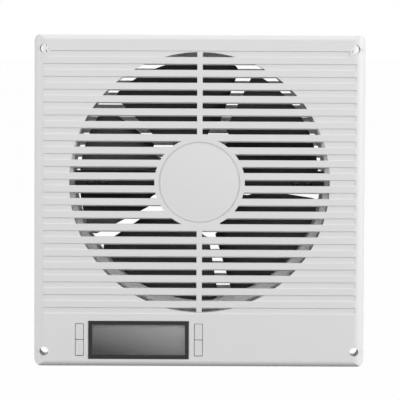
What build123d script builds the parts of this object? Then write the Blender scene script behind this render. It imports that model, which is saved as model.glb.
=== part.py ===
from build123d import *
import math
import os

# Room to room fan. Two square panels cover the two faces of a wall and a round
# duct of two telescoping sleeves joins them through it. The panel with the
# grille, the display and the buttons holds the fan, and the other is passive.
# The origin is the middle of the four wall screws, on the plane of the wall.
# X is to the right, Y runs from the fan side through the wall, and Z is up.

# Air way, which the panels are laid out round
DUCT_R = 105.0
OPENING_LIP = 2.7
OPENING_R = DUCT_R - OPENING_LIP
SIDE_MARGIN = 25.0
TOP_MARGIN = 14.3
DISPLAY_GAP = 6.85
BOTTOM_MARGIN = 5.95
BEZEL_W = 79.0
BEZEL_H = 29.9

# Panels
PANEL_W = 2 * (DUCT_R + SIDE_MARGIN)
PANEL_H = TOP_MARGIN + 2 * OPENING_R + DISPLAY_GAP + BEZEL_H + BOTTOM_MARGIN
PANEL_DEPTH = 25.0
PANEL_CORNER_R = 6.4
PANEL_WALL = 2.5
SIDE_ROUND = 9.0
EDGE_ROUND = 4.5

# Wall that the sleeves bridge
WALL_THICKNESS = 114.0
WALL_MIN = 90.0
WALL_MAX = 150.0

# Grille and sleeves
FAN_Z = PANEL_H / 2 - TOP_MARGIN - OPENING_R
GRILLE_DEPTH = 3.4
GRILLE_RIM = 4.0
HUB_DISC_R = 35.5
RIB_W = 4.25
SLOT_PITCH = 10.085
SLOT_COUNT = 2 * int(OPENING_R / SLOT_PITCH) + 1
SLOT_H = 4.86
SLOT_DROP = 1.1
REAR_SLOT_H = 6.45
REAR_SLOT_DROP = 0.0
REAR_SLOT_COUNT = SLOT_COUNT - 2
SLEEVE_WALL = 1.6
SLEEVE_PLAY = 0.4
SLEEVE_CLEAR = 4.0
SLEEVE_LEAST_LAP = 10.0
FRONT_SLEEVE_LENGTH = WALL_MIN - SLEEVE_CLEAR
SLEEVE_LAP = WALL_MAX - WALL_THICKNESS + SLEEVE_LEAST_LAP

# Shallow bands that carry the slots on across the plate
BAND_DEPTH = 0.5
BAND_END = 7.2
TOP_BAND_END = 12.6
BAND_HALF = PANEL_W / 2 - BAND_END
TOP_BAND_HALF = PANEL_W / 2 - TOP_BAND_END

# Crowned disc in the middle of the grille
CROWN_R = 29.5
CROWN_RISE = 0.8
CROWN_GROOVE_R = 31.4
CROWN_GROOVE_W = 1.1
CROWN_GROOVE_DEPTH = 0.8

# Wall screw holes
SCREW_IN_X = 8.0
SCREW_IN_Z = 11.8
SCREW_X = PANEL_W / 2 - SCREW_IN_X
SCREW_Z = PANEL_H / 2 - SCREW_IN_Z
SCREW_HOLE_R = 3.55
SCREW_TUBE_R = 5.4

# Back frame of the fan side, and the collar held in it
BACK_T = 3.0
BACK_INSET = 0.4
COLLAR_WALL = 2.4
COLLAR_GAP = 0.2
COLLAR_FLANGE = 1.8
COLLAR_FLANGE_T = 2.0
SPIGOT_LENGTH = 5.2
FIT_GAP = 0.1
ASSEMBLY_IN = 11.5
ASSEMBLY_X = PANEL_W / 2 - ASSEMBLY_IN
ASSEMBLY_Z = 62.0
ASSEMBLY_BOSS_R = 4.0
SELF_TAPPER_R = 1.5
SELF_TAPPER_HEAD_R = 3.0
SELF_TAPPER_HEAD_T = 1.6
GASKET_AWAY = 5.0
GASKET_W = 5.0
GASKET_IN_R = DUCT_R + GASKET_AWAY
GASKET_OUT_R = GASKET_IN_R + GASKET_W
GASKET_T = 1.2

# Display and buttons
DISPLAY_FROM_SIDE = 43.0
DISPLAY_X = -PANEL_W / 2 + DISPLAY_FROM_SIDE + BEZEL_W / 2
DISPLAY_Z = -PANEL_H / 2 + BOTTOM_MARGIN + BEZEL_H / 2
BEZEL_BORDER = 2.9
BEZEL_PROUD = 0.3
BEZEL_FLANGE_T = 1.0
BEZEL_SKIRT_INSET = 1.0
BEZEL_SKIRT_WALL = 1.0
BEZEL_SKIRT_DEPTH = 4.8
LENS_T = 1.2
MODULE_GLASS_T = 3.2
MODULE_FRAME_T = 4.5
BUTTON_W = 6.0
BUTTON_H = 12.2
BUTTON_GAP = 0.45
BUTTON_R = 0.7
BUTTON_PROUD = 0.2
BUTTON_DEPTH = 4.6
BUTTON_FLANGE = 1.2
BUTTON_TRAVEL = 0.8
LEFT_BUTTON_SPACE = 4.0
RIGHT_BUTTON_SPACE = 4.6
BUTTON_LIFT = 0.1
LEFT_BUTTON_X = DISPLAY_X - BEZEL_W / 2 - LEFT_BUTTON_SPACE - BUTTON_W / 2
RIGHT_BUTTON_X = DISPLAY_X + BEZEL_W / 2 + RIGHT_BUTTON_SPACE + BUTTON_W / 2
BUTTON_Z = DISPLAY_Z + BUTTON_LIFT
SWITCH_SIZE = 6.0
SWITCH_T = 3.5
PLUNGER_R = 1.7
PLUNGER_REST = 0.5
PLUNGER_OUT = BUTTON_TRAVEL + PLUNGER_REST
BOARD_T = 1.6
BOARD_MARGIN = 8.0
BOARD_H = 29.0
BOARD_HOLE_INSET = 3.2
BOARD_SCREW_R = 1.1

# Motor bracket
BRACKET_H = 17.4
BRACKET_END_GAP = 7.0
BRACKET_HALF = DUCT_R - BRACKET_END_GAP
BRACKET_T = 1.5
BRACKET_FRONT = -13.0
BRACKET_FLANGE = 6.5
BRACKET_HUB_R = 30.0
BRACKET_SCREWS_IN = (29.0, 19.3)
BRACKET_SCREWS_X = tuple(DUCT_R - inset for inset in BRACKET_SCREWS_IN)
BRACKET_SCREW_R = 1.7
BRACKET_SCREW_HEAD_R = 3.3
BRACKET_SCREW_HEAD_T = 2.2
LUG_LENGTH = 36.0
LUG_T = 5.2
LUG_PLAY = 0.2

# Motor
MOTOR_BASE_R = 26.0
MOTOR_BASE_T = 3.0
POST_R = 8.5
POST_END = 26.0
BEARING_R = 6.5
BEARING_W = 4.0
SHAFT_R = 2.5
SHAFT_GAP = 0.03
SEAT_GAP = 0.02
STATOR_R = 21.0
STATOR_FRONT = 5.0
STATOR_LENGTH = 14.0
STATOR_TEETH = 9
TOOTH_W = 4.0
COIL_T = 2.0
MAGNET_GAP = 0.6
MAGNET_T = 3.0
CUP_T = 1.6
CUP_FRONT = 0.0
CUP_END = 29.6
MOTOR_BOARD_R = 24.0
MOTOR_BOARD_FRONT = -5.6

# Impeller
BLADE_COUNT = 5
BLADE_FIRST_GAP = 66.9
BLADE_GAP_ANGLE = 6.8
TIP_GAP = 9.3
TIP_R = DUCT_R - TIP_GAP
TIP_CORNER_R = 5.0
HUB_R = 34.0
HUB_WALL = 2.4
HUB_FRONT = 4.0
HUB_END = 36.0
HUB_ROUND = 3.0
BLADE_MID = 23.0
BLADE_TIP_RISE = 32.0
BLADE_ROOT_RISE = 23.0
BLADE_ROOT_T = 2.4
BLADE_TIP_T = 1.6
ROOT_RELIEF_AT = 38.0
ROOT_RELIEF_R = 8.3
HUB_RING_T = 2.0
HUB_RIBS = 10
HUB_RIB_T = 1.6
HUB_SCREW_PCD = 32.0
HUB_SCREWS = 3

# Wires and inlet
LEAD_R = 1.3
LEAD_Y = -4.8
LEAD_DROP = 4.0
LEAD_AWAY = 7.0
LEAD_X = -DUCT_R - LEAD_AWAY
LEAD_BEND = 5.0
LEAD_CLEAR = 0.6
CONNECTOR_W = 7.0
CONNECTOR_H = 8.0
INLET_X = 40.0
INLET_Y = -12.0
INLET_R = 4.2
INLET_BORE_R = 2.8
INLET_PIN_R = 1.0
INLET_BODY_W = 9.0
INLET_BODY_H = 11.0

# Rear panel
REAR_COLLAR_DEPTH = 18.5
REAR_COLLAR_WALL = 2.2
REAR_RIBS = 12
REAR_RIB_T = 1.8
REAR_GASKET_T = 2.5
RADIAL_SCREW_R = 1.4
RADIAL_SCREW_HEAD_R = 2.6
RADIAL_SCREW_HEAD_T = 1.0
RADIAL_SCREWS = 4
RADIAL_SCREW_ANGLE = 45.0
FRONT_SLEEVE_SCREW_Y = 3.0

# Depths that follow from the sizes above
FRONT_FACE = -PANEL_DEPTH
PLATE_BACK = FRONT_FACE + PANEL_WALL
GRILLE_BACK = FRONT_FACE + GRILLE_DEPTH
REAR_FACE = WALL_THICKNESS + PANEL_DEPTH
REAR_PLATE_FRONT = REAR_FACE - PANEL_WALL
FRONT_SLEEVE_R = DUCT_R + SLEEVE_WALL + SLEEVE_PLAY
REAR_SLEEVE_FRONT = FRONT_SLEEVE_LENGTH - SLEEVE_LAP
REAR_SLEEVE_BACK = REAR_FACE - GRILLE_DEPTH
BRACKET_BACK = BRACKET_FRONT + BRACKET_T
BASE_BACK = BRACKET_BACK + MOTOR_BASE_T
CUP_R = STATOR_R + MAGNET_GAP + MAGNET_T + CUP_T
BEZEL_FRONT = FRONT_FACE - BEZEL_PROUD
LENS_FRONT = BEZEL_FRONT + BEZEL_FLANGE_T
MODULE_FRONT = LENS_FRONT + LENS_T + 2 * FIT_GAP
BOARD_FRONT = MODULE_FRONT + MODULE_GLASS_T + MODULE_FRAME_T
BOARD_BACK = BOARD_FRONT + BOARD_T
BUTTON_FRONT = FRONT_FACE - BUTTON_PROUD
PLUNGER_FRONT = BOARD_FRONT - SWITCH_T - PLUNGER_OUT
BOARD_LEFT = LEFT_BUTTON_X - BUTTON_W / 2 - BOARD_MARGIN
BOARD_RIGHT = RIGHT_BUTTON_X + BUTTON_W / 2 + BOARD_MARGIN
CONNECTOR_X = BOARD_LEFT + 7.0


def slab(outline, front, back):
    """Extrude a front-view outline from one depth to another."""
    return extrude(Plane.XZ.offset(-back) * outline, amount=back - front)


def disc(radius, front, back, x=0.0, z=FAN_Z):
    """A round along the depth, on the fan's axis unless told otherwise."""
    return slab(Pos(x, z) * Circle(radius), front, back)


def ring(outer, inner, front, back, x=0.0, z=FAN_Z):
    """A tube along the depth."""
    return slab(Pos(x, z) * (Circle(outer) - Circle(inner)), front, back)


def block(width, height, front, back, x=0.0, z=FAN_Z):
    """A rectangular bar along the depth."""
    return slab(Pos(x, z) * Rectangle(width, height), front, back)


def corners(x, z):
    """The four places that mirror one another about the middle."""
    return [(sx * x, sz * z) for sx in (-1, 1) for sz in (-1, 1)]


def around_axis(shape, count, first=0.0):
    """Copies of a shape turned evenly about the fan's axis."""
    axis = Axis((0, 0, FAN_Z), (0, -1, 0))
    return [shape.rotate(axis, first + 360.0 * i / count) for i in range(count)]


def join(shapes):
    """One compound of separate solids."""
    solids = [solid for shape in shapes for solid in shape.solids()]
    return Compound(children=solids)


# Panels

def moulded_block(width, height, depth, corner, side_round, edge_round):
    """A block whose face, at zero depth, rolls back softly to its sides."""
    face = slab(RectangleRounded(width, height, corner), 0, depth)
    plan = Pos(0, depth / 2) * Rectangle(width, depth)
    plan = fillet(plan.vertices().group_by(Axis.Y)[0], side_round)
    profile = Pos(depth / 2, 0) * Rectangle(depth, height)
    profile = fillet(profile.vertices().group_by(Axis.X)[0], edge_round)
    across = extrude(plan, amount=height / 2, both=True)
    upright = extrude(Plane.YZ * profile, amount=width / 2, both=True)
    return face & across & upright


def panel_shell(depth):
    """The open-backed moulding that both panels start from."""
    outer = moulded_block(PANEL_W, PANEL_H, depth, PANEL_CORNER_R, SIDE_ROUND, EDGE_ROUND)
    inner = moulded_block(
        PANEL_W - 2 * PANEL_WALL,
        PANEL_H - 2 * PANEL_WALL,
        depth,
        PANEL_CORNER_R - PANEL_WALL,
        SIDE_ROUND - PANEL_WALL,
        EDGE_ROUND - PANEL_WALL,
    )
    return outer - Pos(0, PANEL_WALL, 0) * inner


def slot_places(count):
    """Heights of this many slots above the fan's axis."""
    half = (count - 1) // 2
    return [i * SLOT_PITCH for i in range(-half, half + 1)]


def slot_prism(height, drop):
    """One slot right across, its roof falling towards the back by the drop."""
    over = 1.0
    slope = drop / GRILLE_DEPTH
    back = GRILLE_DEPTH + over
    roof_front = height / 2 + slope * over
    roof_back = height / 2 - slope * back
    section = Polygon(
        (-over, -height / 2), (back, -height / 2), (back, roof_back), (-over, roof_front), align=None
    )
    return extrude(Plane.YZ * section, amount=OPENING_R + over, both=True)


def grille_cutter(count, slot_height, drop, disc_radius):
    """All the slots, kept off the disc and the upright rib."""
    over = 2.0
    field = Circle(OPENING_R) - Rectangle(RIB_W, 2 * OPENING_R + over)
    if disc_radius > 0:
        field -= Circle(disc_radius)
    field = slab(field, -over, GRILLE_DEPTH + over)
    slot = slot_prism(slot_height, drop)
    slots = Part() + [Pos(0, 0, height) * slot for height in slot_places(count)]
    return Pos(0, 0, FAN_Z) * (slots & field)


def band_cutter():
    """The shallow bands from the slots' ends out to the sides of the plate."""
    top = max(slot_places(SLOT_COUNT))
    bands = Part()
    for height in slot_places(SLOT_COUNT):
        half = TOP_BAND_HALF if height == top else BAND_HALF
        bands += block(2 * half, SLOT_H, -1.0, BAND_DEPTH, z=FAN_Z + height)
    return bands - disc(OPENING_R - 0.5, -2.0, BAND_DEPTH + 1.0)


def grille_plate(count, slot_height, drop, disc_radius, depth):
    """A panel with its grille, its face at zero depth."""
    shell = panel_shell(depth) + disc(OPENING_R + GRILLE_RIM, PANEL_WALL / 2, GRILLE_DEPTH)
    return shell - grille_cutter(count, slot_height, drop, disc_radius)


def crown():
    """The low dome on the disc, its rim at zero depth."""
    arc = ThreePointArc(
        (0, -CROWN_RISE), (CROWN_R / 2, -CROWN_RISE * 0.75), (CROWN_R, 0)
    )
    base = Polyline((CROWN_R, 0), (CROWN_R, 0.6), (0, 0.6), (0, -CROWN_RISE))
    dome = revolve(make_face([arc, base]), Axis.Y)
    return Pos(0, 0, FAN_Z) * dome


def button_windows():
    """Outlines of the two openings that hold a pair of buttons each."""
    width = BUTTON_W + 2 * BUTTON_GAP
    height = 2 * BUTTON_H + 3 * BUTTON_GAP
    outline = RectangleRounded(width, height, BUTTON_R + BUTTON_GAP / 2)
    return [Pos(x, BUTTON_Z) * outline for x in (LEFT_BUTTON_X, RIGHT_BUTTON_X)]


def board_posts():
    """Places of the four screws of the control board."""
    z_out = BOARD_H / 2 - BOARD_HOLE_INSET
    middle_x = (BOARD_LEFT + BOARD_RIGHT) / 2
    half = (BOARD_RIGHT - BOARD_LEFT) / 2 - BOARD_HOLE_INSET
    places = []
    for side in (-1, 1):
        for level in (-1, 1):
            places.append((middle_x + side * half, DISPLAY_Z + level * z_out))
    return places


def front_cover():
    """Front moulding of the fan side."""
    cover = Pos(0, FRONT_FACE, 0) * grille_plate(
        SLOT_COUNT, SLOT_H, SLOT_DROP, HUB_DISC_R, PANEL_DEPTH - BACK_T
    )
    cover += Pos(0, FRONT_FACE, 0) * crown()
    cover -= ring(
        CROWN_GROOVE_R + CROWN_GROOVE_W / 2, CROWN_GROOVE_R - CROWN_GROOVE_W / 2,
        FRONT_FACE - 1, FRONT_FACE + CROWN_GROOVE_DEPTH,
    )
    cover -= Pos(0, FRONT_FACE, 0) * band_cutter()
    for x, z in corners(SCREW_X, SCREW_Z):
        cover += disc(SCREW_TUBE_R, PLATE_BACK - 0.5, -BACK_T, x, z)
    for x, z in corners(SCREW_X, SCREW_Z):
        cover -= disc(SCREW_HOLE_R, FRONT_FACE - 1, 1, x, z)
    for x, z in corners(ASSEMBLY_X, ASSEMBLY_Z):
        cover += disc(ASSEMBLY_BOSS_R, PLATE_BACK - 0.5, -BACK_T, x, z)
        cover -= disc(SELF_TAPPER_R, PLATE_BACK + 3, 1, x, z)
    for x, z in board_posts():
        cover += disc(2 * BOARD_SCREW_R, PLATE_BACK - 0.5, BOARD_FRONT, x, z)
        cover -= disc(BOARD_SCREW_R, BOARD_FRONT - 5, 1, x, z)
    skirt_w = BEZEL_W - 2 * BEZEL_SKIRT_INSET
    skirt_h = BEZEL_H - 2 * BEZEL_SKIRT_INSET
    cover -= block(
        skirt_w + 2 * FIT_GAP, skirt_h + 2 * FIT_GAP,
        FRONT_FACE - 1, PLATE_BACK + 1, DISPLAY_X, DISPLAY_Z,
    )
    cover -= block(
        BEZEL_W + 2 * FIT_GAP, BEZEL_H + 2 * FIT_GAP,
        FRONT_FACE - 1, LENS_FRONT, DISPLAY_X, DISPLAY_Z,
    )
    for window in button_windows():
        cover -= slab(window, FRONT_FACE - 1, PLATE_BACK + 1)
    cover -= Pos(INLET_X, INLET_Y, -PANEL_H / 2) * Cylinder(INLET_R + FIT_GAP, 3 * PANEL_WALL)
    return cover


def back_frame():
    """Back plate of the fan side, with a round hole for the collar."""
    width = PANEL_W - 2 * BACK_INSET
    height = PANEL_H - 2 * BACK_INSET
    frame = slab(RectangleRounded(width, height, PANEL_CORNER_R - BACK_INSET), -BACK_T, 0)
    frame -= disc(DUCT_R + COLLAR_WALL + FIT_GAP, FRONT_FACE, 1)
    for x, z in corners(SCREW_X, SCREW_Z):
        frame -= disc(SCREW_HOLE_R, FRONT_FACE, 1, x, z)
    for x, z in corners(ASSEMBLY_X, ASSEMBLY_Z):
        frame -= disc(SELF_TAPPER_R + FIT_GAP, FRONT_FACE, 1, x, z)
        frame -= disc(SELF_TAPPER_HEAD_R + FIT_GAP, -SELF_TAPPER_HEAD_T, 1, x, z)
    return frame - ring(GASKET_OUT_R, GASKET_IN_R, -GASKET_T, 1)


def duct_collar():
    """Collar of the fan side: a ring with a flange, two lugs and the spigot."""
    outer = DUCT_R + COLLAR_WALL
    collar = disc(outer, GRILLE_BACK + COLLAR_GAP, 0)
    collar += disc(outer + COLLAR_FLANGE, -BACK_T - COLLAR_FLANGE_T, -BACK_T)
    collar += disc(FRONT_SLEEVE_R - FIT_GAP, -1, SPIGOT_LENGTH)
    collar -= disc(DUCT_R, FRONT_FACE, SPIGOT_LENGTH + 1)
    lug_h = BRACKET_H - 2 * BRACKET_T - 2 * LUG_PLAY
    reach = DUCT_R + COLLAR_WALL / 2
    for side in (-1, 1):
        collar += block(LUG_LENGTH, lug_h, BRACKET_BACK, BRACKET_BACK + LUG_T, side * (reach - LUG_LENGTH / 2))
        for x in BRACKET_SCREWS_X:
            collar -= disc(BRACKET_SCREW_R, FRONT_FACE, 1, side * x)
    collar -= disc_across_wire(LEAD_R + LEAD_CLEAR)
    return collar - radial_holes(FRONT_SLEEVE_SCREW_Y)


def disc_across_wire(radius):
    """A round along X where the motor lead leaves the duct."""
    hole = Rot(0, 90, 0) * Cylinder(radius, 4 * COLLAR_WALL)
    return Pos(-DUCT_R - COLLAR_WALL / 2, LEAD_Y, FAN_Z - LEAD_DROP) * hole


def self_tapper(x, z, head_back, length):
    """A pan-head screw driven from the wall side."""
    head = disc(SELF_TAPPER_HEAD_R, head_back - SELF_TAPPER_HEAD_T, head_back, x, z)
    shank = disc(SELF_TAPPER_R - SEAT_GAP, head_back - SELF_TAPPER_HEAD_T - length, head_back - 0.5, x, z)
    slot = block(1.5 * SELF_TAPPER_HEAD_R, 0.8, head_back - 0.8, head_back + 1, x, z)
    return head + shank - slot


def cover_screws():
    """Four screws that hold the back frame to the front cover."""
    return join([self_tapper(x, z, 0.0, 12.0) for x, z in corners(ASSEMBLY_X, ASSEMBLY_Z)])


def wall_gasket():
    """Foam ring pressed flush in its groove round the duct."""
    return ring(GASKET_OUT_R - FIT_GAP, GASKET_IN_R + FIT_GAP, -GASKET_T, 0)


# Duct

def radial_screw(y, inner, outer):
    """A short screw that points at the fan's axis, at zero angle."""
    shank = Cylinder(RADIAL_SCREW_R - SEAT_GAP, outer - inner)
    head = Cylinder(RADIAL_SCREW_HEAD_R, RADIAL_SCREW_HEAD_T)
    screw = Pos(0, 0, (inner + outer) / 2) * shank + Pos(0, 0, outer + RADIAL_SCREW_HEAD_T / 2) * head
    slot = Pos(0, 0, outer + RADIAL_SCREW_HEAD_T) * Box(2 * RADIAL_SCREW_HEAD_R, 0.7, 0.9)
    screw = Pos(0, y, FAN_Z) * (Rot(0, 90, 0) * (screw - slot))
    return around_axis(screw, RADIAL_SCREWS, RADIAL_SCREW_ANGLE)


def radial_holes(y):
    """Clearance for the four radial screws."""
    drill = Pos(DUCT_R, y, FAN_Z) * (Rot(0, 90, 0) * Cylinder(RADIAL_SCREW_R, 20))
    return Part() + around_axis(drill, RADIAL_SCREWS, RADIAL_SCREW_ANGLE)


def front_sleeve():
    """Outer sleeve, pushed over the spigot of the back frame."""
    tube = ring(FRONT_SLEEVE_R + SLEEVE_WALL, FRONT_SLEEVE_R, 0, FRONT_SLEEVE_LENGTH)
    return tube - radial_holes(FRONT_SLEEVE_SCREW_Y)


def front_sleeve_screws():
    """Four screws through the outer sleeve into the spigot."""
    return join(radial_screw(FRONT_SLEEVE_SCREW_Y, DUCT_R, FRONT_SLEEVE_R + SLEEVE_WALL))


def rear_sleeve():
    """Inner sleeve, which slides in the outer one and carries the rear panel."""
    tube = ring(DUCT_R + SLEEVE_WALL, DUCT_R, REAR_SLEEVE_FRONT, REAR_SLEEVE_BACK)
    return tube - radial_holes(REAR_SLEEVE_BACK - REAR_COLLAR_DEPTH / 2)


def rear_sleeve_screws():
    """Four screws through the rear panel's collar into the inner sleeve."""
    collar_out = DUCT_R + SLEEVE_WALL + FIT_GAP + REAR_COLLAR_WALL
    return join(radial_screw(REAR_SLEEVE_BACK - REAR_COLLAR_DEPTH / 2, DUCT_R, collar_out))


def rear_grille():
    """Passive panel of the far side."""
    panel = grille_plate(REAR_SLOT_COUNT, REAR_SLOT_H, REAR_SLOT_DROP, 0.0, PANEL_DEPTH)
    panel = Pos(0, REAR_FACE, 0) * (Rot(0, 0, 180) * panel)
    collar_in = DUCT_R + SLEEVE_WALL + FIT_GAP
    collar_out = collar_in + REAR_COLLAR_WALL
    collar_front = REAR_SLEEVE_BACK - REAR_COLLAR_DEPTH
    panel += ring(collar_out, collar_in, collar_front, REAR_PLATE_FRONT + 0.5)
    rib_front = WALL_THICKNESS + REAR_GASKET_T
    inside = slab(
        RectangleRounded(PANEL_W - PANEL_WALL, PANEL_H - PANEL_WALL, PANEL_CORNER_R), rib_front, REAR_FACE - 1
    ) - disc(collar_out - 0.5, WALL_THICKNESS, REAR_FACE)
    length = PANEL_W
    rib = block(length, REAR_RIB_T, rib_front, REAR_PLATE_FRONT + 0.5, length / 2)
    panel += (Part() + around_axis(rib, REAR_RIBS)) & inside
    for x, z in corners(SCREW_X, SCREW_Z):
        panel += disc(SCREW_TUBE_R, WALL_THICKNESS, REAR_PLATE_FRONT + 0.5, x, z)
    for x, z in corners(SCREW_X, SCREW_Z):
        panel -= disc(SCREW_HOLE_R, WALL_THICKNESS - 1, REAR_FACE + 1, x, z)
    return panel - radial_holes(REAR_SLEEVE_BACK - REAR_COLLAR_DEPTH / 2)


def rear_gasket():
    """Foam ring between the rear panel's ribs and the wall."""
    back = WALL_THICKNESS + REAR_GASKET_T
    inset = 2 * (PANEL_WALL + FIT_GAP)
    room = block(PANEL_W - inset, PANEL_H - inset, WALL_THICKNESS, back, z=0)
    return ring(GASKET_OUT_R, GASKET_IN_R, WALL_THICKNESS, back) & room


# Display and buttons

def display_bezel():
    """Frame of the display with a skirt through the cover."""
    window = Rectangle(BEZEL_W - 2 * BEZEL_BORDER, BEZEL_H - 2 * BEZEL_BORDER)
    skirt_w = BEZEL_W - 2 * BEZEL_SKIRT_INSET
    skirt_h = BEZEL_H - 2 * BEZEL_SKIRT_INSET
    skirt = Rectangle(skirt_w, skirt_h) - Rectangle(
        skirt_w - 2 * BEZEL_SKIRT_WALL, skirt_h - 2 * BEZEL_SKIRT_WALL
    )
    place = Pos(DISPLAY_X, DISPLAY_Z)
    flange = slab(place * (Rectangle(BEZEL_W, BEZEL_H) - window), BEZEL_FRONT, LENS_FRONT)
    return flange + slab(place * skirt, LENS_FRONT, LENS_FRONT + BEZEL_SKIRT_DEPTH)


def display_lens():
    """Tinted cover of the display, behind the bezel's lip."""
    inset = BEZEL_SKIRT_INSET + BEZEL_SKIRT_WALL + FIT_GAP
    return block(
        BEZEL_W - 2 * inset, BEZEL_H - 2 * inset, LENS_FRONT, LENS_FRONT + LENS_T, DISPLAY_X, DISPLAY_Z
    )


def display_module():
    """Liquid crystal glass on its backlight frame, which stands on the board."""
    inset = BEZEL_SKIRT_INSET + BEZEL_SKIRT_WALL + 4 * FIT_GAP
    width = BEZEL_W - 2 * inset
    height = BEZEL_H - 2 * inset
    glass = block(width, height, MODULE_FRONT, MODULE_FRONT + MODULE_GLASS_T, DISPLAY_X, DISPLAY_Z)
    frame = block(width - 3, height - 3, MODULE_FRONT + MODULE_GLASS_T, BOARD_FRONT, DISPLAY_X, DISPLAY_Z)
    return glass + frame


def control_board():
    """Board behind the display and the buttons."""
    width = BOARD_RIGHT - BOARD_LEFT
    board = block(width, BOARD_H, BOARD_FRONT, BOARD_BACK, (BOARD_LEFT + BOARD_RIGHT) / 2, DISPLAY_Z)
    for x, z in board_posts():
        board -= disc(BOARD_SCREW_R + FIT_GAP, BOARD_FRONT - 1, BOARD_BACK + 1, x, z)
    return board


def board_components():
    """Controller chip, relay, capacitor and the two wire connectors."""
    chip = block(10, 10, BOARD_BACK, BOARD_BACK + 1.6, DISPLAY_X, DISPLAY_Z)
    relay = block(12, 10, BOARD_BACK, BOARD_BACK + 6, DISPLAY_X + 26, DISPLAY_Z + 4)
    capacitor = disc(3.2, BOARD_BACK, BOARD_BACK + 7, DISPLAY_X + 14, DISPLAY_Z - 6)
    motor_plug = block(CONNECTOR_W, CONNECTOR_H, BOARD_BACK, LEAD_Y + LEAD_R + 0.4, CONNECTOR_X, DISPLAY_Z)
    power_plug = block(CONNECTOR_W, CONNECTOR_H, BOARD_BACK, LEAD_Y, power_plug_x(), DISPLAY_Z)
    return join([chip, relay, capacitor, motor_plug, power_plug])


def power_plug_x():
    """Middle of the power connector on the board."""
    return BOARD_RIGHT - 10.0


def board_screws():
    """Four small screws that hold the board to its posts."""
    screws = []
    for x, z in board_posts():
        head = disc(2 * BOARD_SCREW_R, BOARD_BACK, BOARD_BACK + 1.3, x, z)
        shank = disc(BOARD_SCREW_R - SEAT_GAP, BOARD_BACK - 5, BOARD_BACK + 0.5, x, z)
        slot = block(3 * BOARD_SCREW_R, 0.5, BOARD_BACK + 0.8, BOARD_BACK + 2, x, z)
        screws.append(head + shank - slot)
    return join(screws)


def button_place(side, level):
    """Middle of one button: side is -1 or 1, and so is level."""
    x = LEFT_BUTTON_X if side < 0 else RIGHT_BUTTON_X
    return x, BUTTON_Z + level * (BUTTON_H + BUTTON_GAP) / 2


def button(side, level):
    """A key cap with the ledge that keeps it behind the cover."""
    x, z = button_place(side, level)
    cap = slab(
        Pos(x, z) * RectangleRounded(BUTTON_W, BUTTON_H, BUTTON_R), BUTTON_FRONT, BUTTON_FRONT + BUTTON_DEPTH
    )
    cap = fillet(cap.faces().sort_by(Axis.Y)[0].edges(), 0.35)
    ledge_front = PLATE_BACK + FIT_GAP
    cap += block(BUTTON_W + 2 * BUTTON_FLANGE, BUTTON_H, ledge_front, ledge_front + 1.0, x, z)
    return cap + disc(PLUNGER_R - 0.2, BUTTON_FRONT + BUTTON_DEPTH - 0.5, PLUNGER_FRONT, x, z)


def plunger(side, level):
    """Moving pin of the switch behind one button."""
    x, z = button_place(side, level)
    return disc(PLUNGER_R, PLUNGER_FRONT, BOARD_FRONT - SWITCH_T + 0.8, x, z)


def tact_switches():
    """Bodies of the four push switches on the board."""
    switches = []
    for side in (-1, 1):
        for level in (-1, 1):
            x, z = button_place(side, level)
            body = block(SWITCH_SIZE, SWITCH_SIZE, BOARD_FRONT - SWITCH_T, BOARD_FRONT, x, z)
            bore = disc(PLUNGER_R + FIT_GAP / 2, PLUNGER_FRONT, BOARD_FRONT - 0.8, x, z)
            switches.append(body - bore)
    return join(switches)


# Motor bracket and motor

def motor_bracket():
    """Pressed channel across the duct with a round seat for the motor."""
    length = 2 * BRACKET_HALF
    bar = block(length, BRACKET_H, BRACKET_FRONT, BRACKET_BACK + BRACKET_FLANGE)
    inside = block(
        length + 2, BRACKET_H - 2 * BRACKET_T, BRACKET_BACK, BRACKET_BACK + BRACKET_FLANGE + 1
    )
    bar = bar - inside - disc(BRACKET_HUB_R, BRACKET_BACK, BRACKET_BACK + BRACKET_FLANGE + 1)
    seat = disc(BRACKET_HUB_R, BRACKET_FRONT, BRACKET_BACK)
    bracket = bar + seat
    for x in BRACKET_SCREWS_X:
        for side in (-1, 1):
            bracket -= disc(BRACKET_SCREW_R + FIT_GAP, FRONT_FACE, 0, side * x)
    bracket -= disc(POST_R - 1.5, FRONT_FACE, 0)
    for hole in around_axis(disc(SELF_TAPPER_R + FIT_GAP, FRONT_FACE, 0, z=FAN_Z + MOTOR_BASE_R * 0.72), 3):
        bracket -= hole
    return bracket


def pan_screw(x, z, seat, length, radius, head_radius, head_thickness):
    """A pan-head screw driven from the front, with a crossed recess."""
    head = disc(head_radius, seat - head_thickness, seat, x, z)
    head = fillet(head.faces().sort_by(Axis.Y)[0].edges(), 0.45 * head_thickness)
    shank = disc(radius - SEAT_GAP, seat - 0.5, seat + length, x, z)
    arm = 1.1 * head_radius
    recess = block(arm, 0.7, seat - head_thickness - 1, seat - 0.6 * head_thickness, x, z)
    recess += block(0.7, arm, seat - head_thickness - 1, seat - 0.6 * head_thickness, x, z)
    return head + shank - recess


def bracket_screws():
    """Two screws at each end of the bracket."""
    screws = []
    for side in (-1, 1):
        for x in BRACKET_SCREWS_X:
            screws.append(pan_screw(
                side * x, FAN_Z, BRACKET_FRONT, BRACKET_T + LUG_T - 0.5,
                BRACKET_SCREW_R, BRACKET_SCREW_HEAD_R, BRACKET_SCREW_HEAD_T,
            ))
    return join(screws)


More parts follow.
